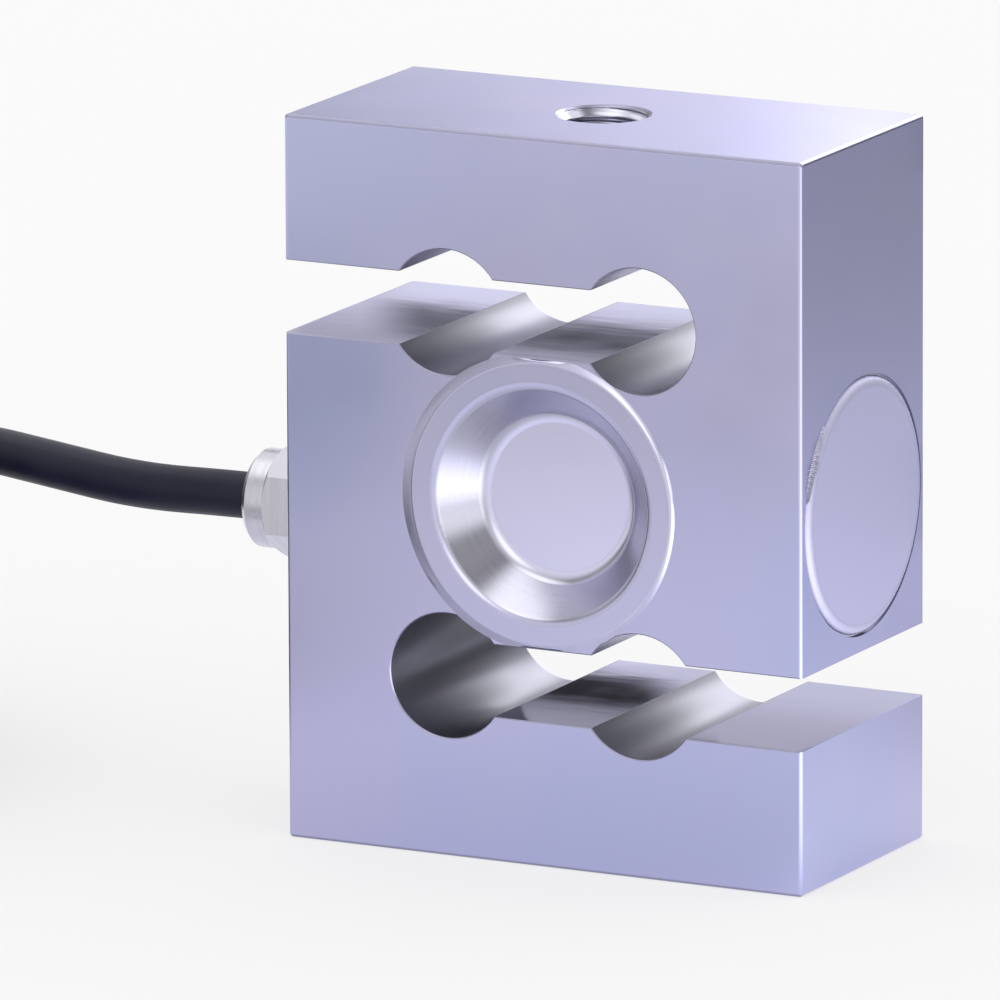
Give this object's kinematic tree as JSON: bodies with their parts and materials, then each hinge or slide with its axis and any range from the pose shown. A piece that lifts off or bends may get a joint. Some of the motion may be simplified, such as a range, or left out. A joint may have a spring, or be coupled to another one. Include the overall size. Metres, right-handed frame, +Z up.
{
  "type": "s type load cell",
  "caption": "S shaped steel load cell with slotted block, dished gauge bore covers, end threads, side cable gland and coiled cable.",
  "frame": {"origin": "on the load axis, in the plane of the lower end face", "axes": "+X along the slots, away from the cable gland; +Y from the front disc to the rear disc; +Z up the load axis"},
  "size_m": [0.1774, 0.068, 0.08],
  "materials": {
    "plated_steel": "satin machined, nickel plated",
    "cover_steel": "satin, pressed sheet",
    "gland_plating": "satin nickel plating over brass",
    "fastener_steel": "satin",
    "board_green": "smooth laminate",
    "spacer_nylon": "smooth",
    "resistor_blue": "smooth lacquer",
    "gauge_foil": "foil under an amber film",
    "copper_pads": "tinned copper",
    "black_rubber": "matte",
    "cable_jacket": "smooth matte jacket",
    "tie_nylon": "smooth",
    "sleeve_black": "satin shrunk sleeve",
    "core_red": "smooth",
    "core_black": "smooth",
    "core_green": "smooth",
    "core_white": "smooth",
    "drain_sleeve": "clear sleeve over tinned wire"
  },
  "bodies": {
    "root": {"spring_body": "plated_steel", "front_diaphragm": "cover_steel", "rear_diaphragm": "cover_steel", "end_cover": "cover_steel", "wiring_board": "board_green", "board_spacers": "spacer_nylon", "board_screws": "fastener_steel", "trim_resistors": "resistor_blue", "strain_gauge_upper_right": "gauge_foil", "strain_gauge_upper_left": "gauge_foil", "strain_gauge_lower_left": "gauge_foil", "strain_gauge_lower_right": "gauge_foil", "gauge_terminals": "copper_pads", "gauge_leads": "copper_pads", "gland_washer": "black_rubber", "gland_body": "gland_plating", "gland_grommet": "black_rubber", "gland_nut": "gland_plating", "core_red": "core_red", "core_black": "core_black", "core_green": "core_green", "core_white": "core_white", "cable": "cable_jacket", "cable_coil": "cable_jacket", "cable_tail": "cable_jacket", "cable_ties": "tie_nylon", "end_sleeve": "sleeve_black", "lead_red": "core_red", "lead_black": "core_black", "lead_green": "core_green", "lead_white": "core_white", "shield_drain": "drain_sleeve"}
  },
  "joints": []
}
